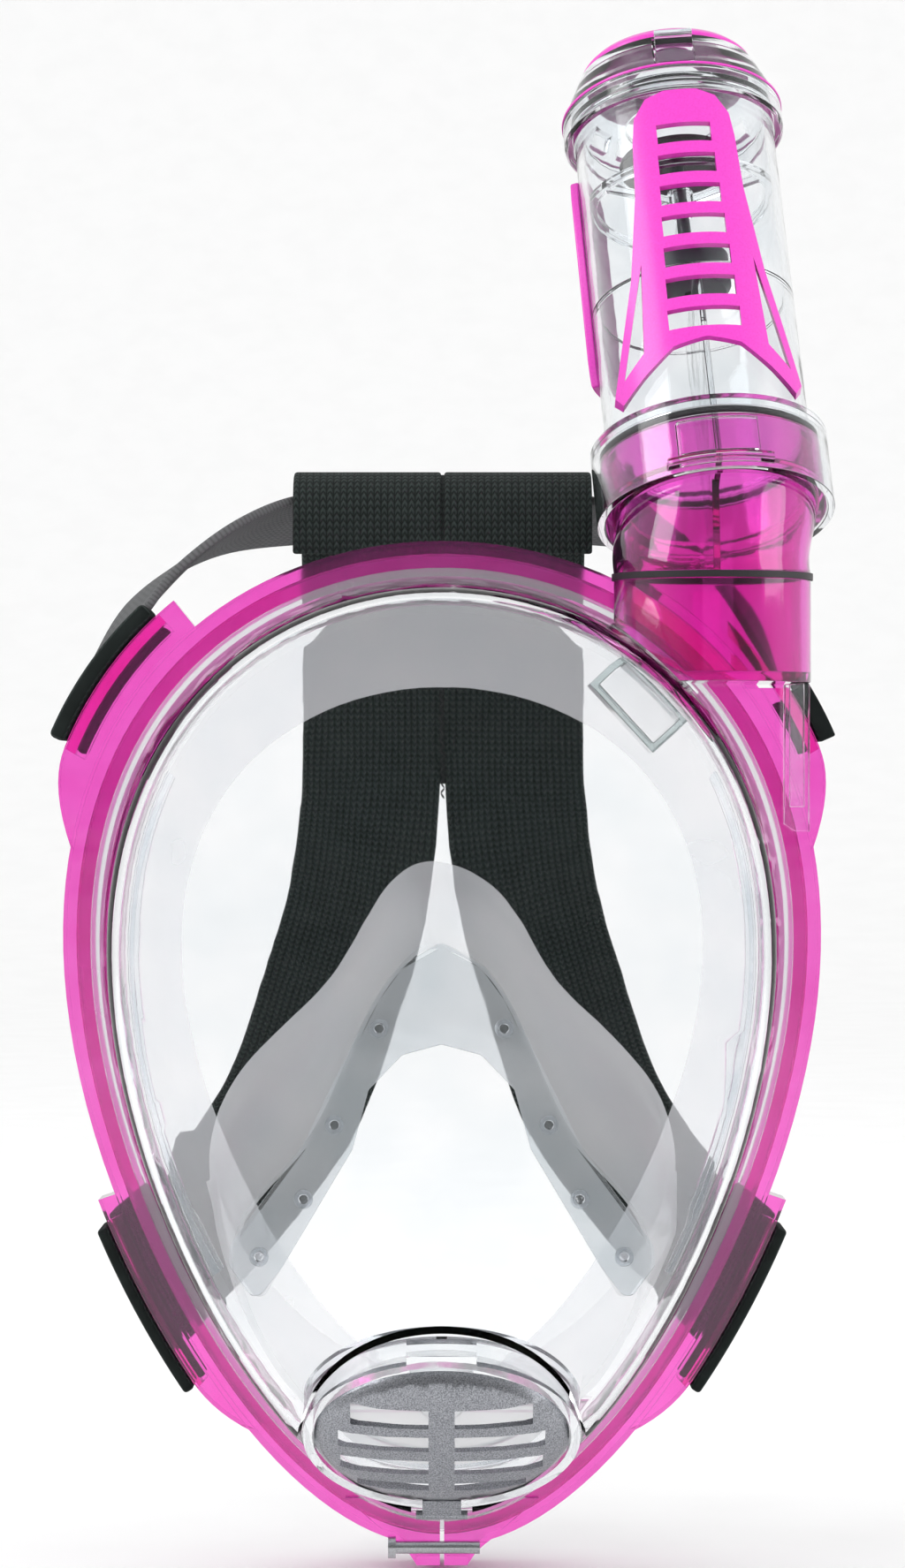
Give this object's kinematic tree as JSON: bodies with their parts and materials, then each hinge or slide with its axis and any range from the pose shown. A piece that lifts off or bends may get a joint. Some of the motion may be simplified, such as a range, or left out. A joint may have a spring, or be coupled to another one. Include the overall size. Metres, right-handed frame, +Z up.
{
  "type": "full face snorkel mask",
  "caption": "Full face snorkel mask: clear panoramic visor in a magenta frame, silicone skirt and nose pocket, offset dry-top snorkel, slotted purge cover and elastic head straps.",
  "frame": {"origin": "centre of the face seal; the seal's rear lip lies in the plane y = 0", "axes": "+Z up, the visor faces -Y, +Y points at the wearer's face, +X is to the right of someone looking at the visor"},
  "size_m": [0.1884, 0.193, 0.3706],
  "materials": {
    "clear_shell": "clear moulded polycarbonate, polished",
    "magenta_shell": "translucent magenta moulded polycarbonate, polished",
    "pink_cover": "opaque pink moulded ABS, satin",
    "silicone": "translucent liquid silicone rubber, satin",
    "black_rubber": "black rubber",
    "grey_paint": "gunmetal metallic paint on moulded cover",
    "dark_plastic": "dark grey moulded plastic",
    "steel": "stainless steel",
    "webbing": "dark knitted elastic webbing"
  },
  "bodies": {
    "mask": {"visor_lens": "clear_shell", "main_frame": "magenta_shell", "face_skirt": "silicone", "orinasal_pocket": "silicone", "pocket_stiffener": "clear_shell", "stiffener_rivets": "clear_shell", "chin_screw": "steel", "air_inlet_duct": "clear_shell", "air_channel_left": "clear_shell", "air_channel_right": "clear_shell", "exhaust_pipe": "clear_shell", "junction_cup": "magenta_shell", "junction_gasket": "black_rubber", "junction_elbow": "magenta_shell", "junction_divider": "magenta_shell", "purge_housing": "clear_shell", "purge_valve_seat": "clear_shell", "upper_strap": "webbing", "back_strap_left": "webbing", "back_strap_right": "webbing", "strap_seam": "webbing", "strap_loops": "webbing"},
    "snorkel": {"tube_lower": "clear_shell", "tube_upper": "clear_shell", "tube_septum": "clear_shell", "front_tube_plate": "pink_cover", "side_tube_plate": "pink_cover", "socket_oring": "black_rubber", "lock_collar": "clear_shell", "float_guide": "clear_shell"},
    "collar_button": {"collar_latch": "clear_shell"},
    "cap": {"cap_ring": "clear_shell", "cap_port_plate": "clear_shell", "cap_line_seal": "pink_cover", "cap_shell": "clear_shell", "cap_cover": "pink_cover"},
    "cap_button": {"cap_latch": "clear_shell"},
    "float_valve": {"float": "dark_plastic", "float_stem": "dark_plastic", "float_seal": "black_rubber"},
    "purge_lid": {"purge_cover": "grey_paint"},
    "purge_disc": {"purge_diaphragm": "silicone"},
    "inlet_valve": {"inlet_flap": "silicone"}
  },
  "joints": [
    {"name": "snorkel_pull", "type": "slide", "parent": "mask", "child": "snorkel", "axis": [-0.08, 0.3749, 0.9236], "range_m": [0, 0.06]},
    {"name": "collar_press", "type": "slide", "parent": "snorkel", "child": "collar_button", "axis": [0, 0.9266, -0.3761], "range_m": [0, 0.001], "stiffness_N_per_m": 600},
    {"name": "cap_pull", "type": "slide", "parent": "snorkel", "child": "cap", "axis": [-0.08, 0.3749, 0.9236], "range_m": [0, 0.03]},
    {"name": "cap_press", "type": "slide", "parent": "cap", "child": "cap_button", "axis": [0, 0.9266, -0.3761], "range_m": [0, 0.001], "stiffness_N_per_m": 600},
    {"name": "float_rise", "type": "slide", "parent": "snorkel", "child": "float_valve", "axis": [-0.08, 0.3749, 0.9236], "range_m": [0, 0.0085]},
    {"name": "purge_open", "type": "hinge", "parent": "mask", "child": "purge_lid", "pos_m": [0, -0.072, -0.1083], "axis": [1, 0, 0], "range_deg": [0, 75]},
    {"name": "purge_lift", "type": "slide", "parent": "mask", "child": "purge_disc", "axis": [0, -0.8192, -0.5736], "range_m": [0, 0.002], "stiffness_N_per_m": 40},
    {"name": "inlet_swing", "type": "hinge", "parent": "mask", "child": "inlet_valve", "pos_m": [0.04989, -0.0679, 0.08461], "axis": [0.6756, 0, -0.7373], "range_deg": [-30, 0], "stiffness_Nm_per_rad": 0.001}
  ]
}
